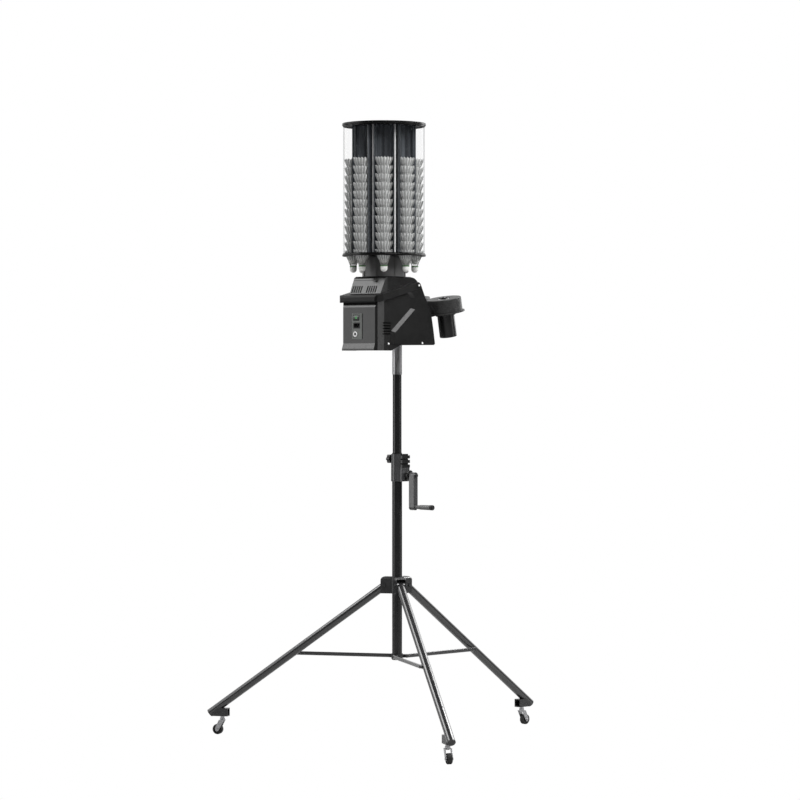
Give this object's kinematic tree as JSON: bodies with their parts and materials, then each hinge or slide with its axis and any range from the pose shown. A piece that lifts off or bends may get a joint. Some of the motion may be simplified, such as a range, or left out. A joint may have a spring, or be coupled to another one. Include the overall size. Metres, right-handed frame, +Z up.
{
  "type": "shuttlecock launching machine",
  "caption": "Shuttlecock launching machine: clear stack drum on a housing with two spinning launch wheels, on a crank-up mast and a folding tripod with swivel casters.",
  "frame": {"origin": "on the floor, under the axis of the column", "axes": "+X along the launch direction, +Y to the machine's left, +Z up"},
  "size_m": [1.1993, 1.3152, 2.339],
  "materials": {
    "satin_black_tube": "satin black powder coat",
    "black_casting": "black painted casting",
    "grey_case": "dark grey satin paint",
    "black_plastic": "moulded, satin",
    "dark_grey_plastic": "moulded, satin",
    "black_rubber": "matt",
    "tyre_black": "satin tread",
    "zinc": "zinc plated",
    "steel": "brushed",
    "aluminium": "satin",
    "core_plastic": "glossy extruded",
    "clear_acrylic": "clear, polished",
    "shuttle_white": "feather skirt and white cork",
    "circuit_green": "solder mask",
    "frame_grey": "light grey moulding",
    "rocker_black": "gloss, green symbol",
    "screw_steel": "bright zinc"
  },
  "bodies": {
    "stand": {"column_tube": "satin_black_tube", "column_bushings": "black_plastic", "leg_hub": "black_casting", "winch_case": "grey_case", "winch_cover": "black_plastic"},
    "collar": {"brace_collar": "black_casting"},
    "mast": {"mast_tube": "satin_black_tube", "mast_sleeve": "steel"},
    "crank": {"crank_shaft": "steel", "crank_arm": "grey_case"},
    "grip": {"crank_grip": "dark_grey_plastic"},
    "knob": {"lock_knob": "black_plastic"},
    "head": {"pan_socket": "aluminium", "base_plate": "aluminium", "lower_housing": "black_plastic", "side_panels": "black_plastic", "hood": "dark_grey_plastic", "hood_lip": "black_plastic", "power_module": "frame_grey", "power_inlet": "black_plastic", "power_supply": "aluminium", "control_board": "circuit_green", "housing_screws": "screw_steel", "neck": "dark_grey_plastic", "carousel_bearing": "steel", "carousel_motor": "steel", "launcher_cheeks": "aluminium", "drop_chute": "black_plastic", "feed_motor": "black_casting"},
    "rocker": {"rocker_switch": "rocker_black"},
    "carousel": {"carousel_shaft": "dark_grey_plastic", "carousel_gear": "dark_grey_plastic", "drum_base": "core_plastic", "drum_cover": "core_plastic", "drum_core": "core_plastic", "drum_rods": "steel", "drum_shell": "clear_acrylic", "shuttle_row": "shuttle_white", "shuttle_stacks": "shuttle_white"},
    "drive": {"drive_pinion": "steel"},
    "launcher": {"launcher_yoke": "black_casting", "launch_motors": "black_casting"},
    "wheel_left": {"launch_wheel_left": "tyre_black"},
    "wheel_right": {"launch_wheel_right": "tyre_black"},
    "feeder": {"feed_arm": "aluminium"},
    "leg_1": {"leg_1": "satin_black_tube", "foot_1": "black_casting"},
    "brace_1": {"brace_1": "satin_black_tube"},
    "caster_1": {"caster_fork_1": "zinc"},
    "roller_1": {"caster_wheel_1": "black_rubber"},
    "leg_2": {"leg_2": "satin_black_tube", "foot_2": "black_casting"},
    "brace_2": {"brace_2": "satin_black_tube"},
    "caster_2": {"caster_fork_2": "zinc"},
    "roller_2": {"caster_wheel_2": "black_rubber"},
    "leg_3": {"leg_3": "satin_black_tube", "foot_3": "black_casting"},
    "brace_3": {"brace_3": "satin_black_tube"},
    "caster_3": {"caster_fork_3": "zinc"},
    "roller_3": {"caster_wheel_3": "black_rubber"}
  },
  "joints": [
    {"name": "tripod_fold", "type": "slide", "parent": "stand", "child": "collar", "axis": [0, 0, 1], "range_m": [0, 0.18963]},
    {"name": "leg_1_hinge", "type": "hinge", "parent": "stand", "child": "leg_1", "pos_m": [0.04582, -0.00401, 0.59], "axis": [0.0872, 0.9962, 0], "range_deg": [0, 38.01]},
    {"name": "brace_1_hinge", "type": "hinge", "parent": "collar", "child": "brace_1", "pos_m": [0.02509, -0.02297, 0.32], "axis": [0.0872, 0.9962, 0], "range_deg": [0, 68.7]},
    {"name": "caster_1_swivel", "type": "hinge", "parent": "leg_1", "child": "caster_1", "pos_m": [0.69634, -0.06092, 0.06], "axis": [0, 0, 1], "continuous": true},
    {"name": "caster_1_roll", "type": "hinge", "parent": "caster_1", "child": "roller_1", "pos_m": [0.71427, -0.06249, 0.02], "axis": [0.0872, 0.9962, 0], "continuous": true},
    {"name": "leg_2_hinge", "type": "hinge", "parent": "stand", "child": "leg_2", "pos_m": [-0.01944, 0.04169, 0.59], "axis": [-0.9063, -0.4226, 0], "range_deg": [0, 38.01]},
    {"name": "brace_2_hinge", "type": "hinge", "parent": "collar", "child": "brace_2", "pos_m": [0.00735, 0.03322, 0.32], "axis": [-0.9063, -0.4226, 0], "range_deg": [0, 68.7]},
    {"name": "caster_2_swivel", "type": "hinge", "parent": "leg_2", "child": "caster_2", "pos_m": [-0.29541, 0.63351, 0.06], "axis": [0, 0, 1], "continuous": true},
    {"name": "caster_2_roll", "type": "hinge", "parent": "caster_2", "child": "roller_2", "pos_m": [-0.30302, 0.64982, 0.02], "axis": [-0.9063, -0.4226, 0], "continuous": true},
    {"name": "leg_3_hinge", "type": "hinge", "parent": "stand", "child": "leg_3", "pos_m": [-0.02638, -0.03768, 0.59], "axis": [0.8192, -0.5736, 0], "range_deg": [0, 38.01]},
    {"name": "brace_3_hinge", "type": "hinge", "parent": "collar", "child": "brace_3", "pos_m": [-0.03244, -0.01024, 0.32], "axis": [0.8192, -0.5736, 0], "range_deg": [0, 68.7]},
    {"name": "caster_3_swivel", "type": "hinge", "parent": "leg_3", "child": "caster_3", "pos_m": [-0.40093, -0.57259, 0.06], "axis": [0, 0, 1], "continuous": true},
    {"name": "caster_3_roll", "type": "hinge", "parent": "caster_3", "child": "roller_3", "pos_m": [-0.41125, -0.58733, 0.02], "axis": [0.8192, -0.5736, 0], "continuous": true},
    {"name": "mast_lift", "type": "slide", "parent": "stand", "child": "mast", "axis": [0, 0, 1], "range_m": [-0.26, 0.3]},
    {"name": "crank_turn", "type": "hinge", "parent": "stand", "child": "crank", "pos_m": [0.02395, -0.06, 1.008], "axis": [0, 1, 0], "range_deg": [-1655.22, 1909.87]},
    {"name": "grip_spin", "type": "hinge", "parent": "crank", "child": "grip", "pos_m": [0.02395, -0.12, 0.888], "axis": [0, 1, 0], "continuous": true},
    {"name": "lock_knob_turn", "type": "hinge", "parent": "stand", "child": "knob", "pos_m": [0, 0.035, 1.07], "axis": [0, 1, 0], "range_deg": [0, 540]},
    {"name": "head_pan", "type": "hinge", "parent": "mast", "child": "head", "pos_m": [0, 0, 1.53], "axis": [0, 0, 1], "range_deg": [-60, 60]},
    {"name": "launcher_tilt", "type": "hinge", "parent": "head", "child": "launcher", "pos_m": [0.118, 0, 1.638], "axis": [0, -1, 0], "range_deg": [-10, 20]},
    {"name": "wheel_left_spin", "type": "hinge", "parent": "launcher", "child": "wheel_left", "pos_m": [0.191, 0.077, 1.655], "axis": [-0.1908, 0, 0.9816], "continuous": true},
    {"name": "wheel_right_spin", "type": "hinge", "parent": "launcher", "child": "wheel_right", "pos_m": [0.191, -0.077, 1.655], "axis": [-0.1908, 0, 0.9816], "continuous": true},
    {"name": "feed_swing", "type": "hinge", "parent": "head", "child": "feeder", "pos_m": [0.0936, 0, 1.6896], "axis": [0, -1, 0], "range_deg": [0, 101]},
    {"name": "carousel_turn", "type": "hinge", "parent": "head", "child": "carousel", "pos_m": [-0.077, 0, 1.8], "axis": [0, 0, 1], "continuous": true},
    {"name": "drive_turn", "type": "hinge", "parent": "head", "child": "drive", "pos_m": [-0.12525, 0, 1.79], "axis": [0, 0, 1], "continuous": true},
    {"name": "rocker_tip", "type": "hinge", "parent": "head", "child": "rocker", "pos_m": [-0.2124, 0.011, 1.604], "axis": [0, 1, 0], "range_deg": [0, 8]}
  ],
  "couplings": [
    {"joint": "leg_1_hinge", "follows": "tripod_fold", "rad_per_m": 3.4975},
    {"joint": "brace_1_hinge", "follows": "tripod_fold", "rad_per_m": 6.3225},
    {"joint": "leg_2_hinge", "follows": "tripod_fold", "rad_per_m": 3.4975},
    {"joint": "brace_2_hinge", "follows": "tripod_fold", "rad_per_m": 6.3225},
    {"joint": "leg_3_hinge", "follows": "tripod_fold", "rad_per_m": 3.4975},
    {"joint": "brace_3_hinge", "follows": "tripod_fold", "rad_per_m": 6.3225},
    {"joint": "crank_turn", "follows": "mast_lift", "rad_per_m": 111.11},
    {"joint": "drive_turn", "follows": "carousel_turn", "ratio": -3}
  ]
}
